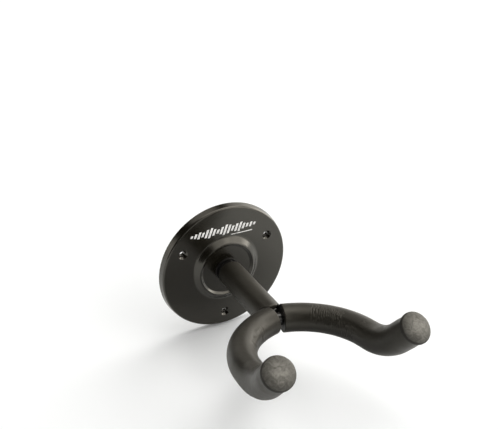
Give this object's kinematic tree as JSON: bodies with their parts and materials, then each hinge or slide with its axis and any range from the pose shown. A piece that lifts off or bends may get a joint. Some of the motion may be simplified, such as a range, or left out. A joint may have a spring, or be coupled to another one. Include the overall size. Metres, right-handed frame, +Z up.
{
  "type": "wall guitar hanger",
  "caption": "Round black wall plate with a foam-covered stem and a swivelling U-shaped yoke that cradles a guitar's headstock between upturned padded arms.",
  "frame": {"origin": "centre of the wall plate's back, on the wall plane and on the stem's axis", "axes": "+Y into the wall, so the hanger stands out along -Y; +Z up; +X to the right as seen from the room"},
  "size_m": [0.098, 0.1481, 0.088],
  "materials": {
    "plate_paint": "semi-gloss black powder coat on stamped steel",
    "white_ink": "thin white pad-printed ink",
    "rod_paint": "gloss black paint on steel bar",
    "plated_steel": "dull zinc plating",
    "black_nut": "black oxide, bright at the edges",
    "foam": "closed-cell foam rubber tube with a smooth satin skin",
    "cap_foam": "moulded foam rubber cap, slightly mottled"
  },
  "bodies": {
    "wall_plate": {"base_plate": "plate_paint", "printed_mark": "white_ink"},
    "yoke": {"stem_rod": "rod_paint", "yoke_rod": "rod_paint", "yoke_weld": "rod_paint", "front_washer": "black_nut", "front_nut": "black_nut", "spring_washer": "plated_steel", "rear_nut": "plated_steel", "stem_sleeve": "foam", "left_arm_sleeve": "foam", "right_arm_sleeve": "foam", "left_end_cap": "cap_foam", "right_end_cap": "cap_foam"}
  },
  "joints": [
    {"name": "yoke_swivel", "type": "hinge", "parent": "wall_plate", "child": "yoke", "pos_m": [0, -0.006, 0], "axis": [0, -1, 0], "continuous": true}
  ]
}
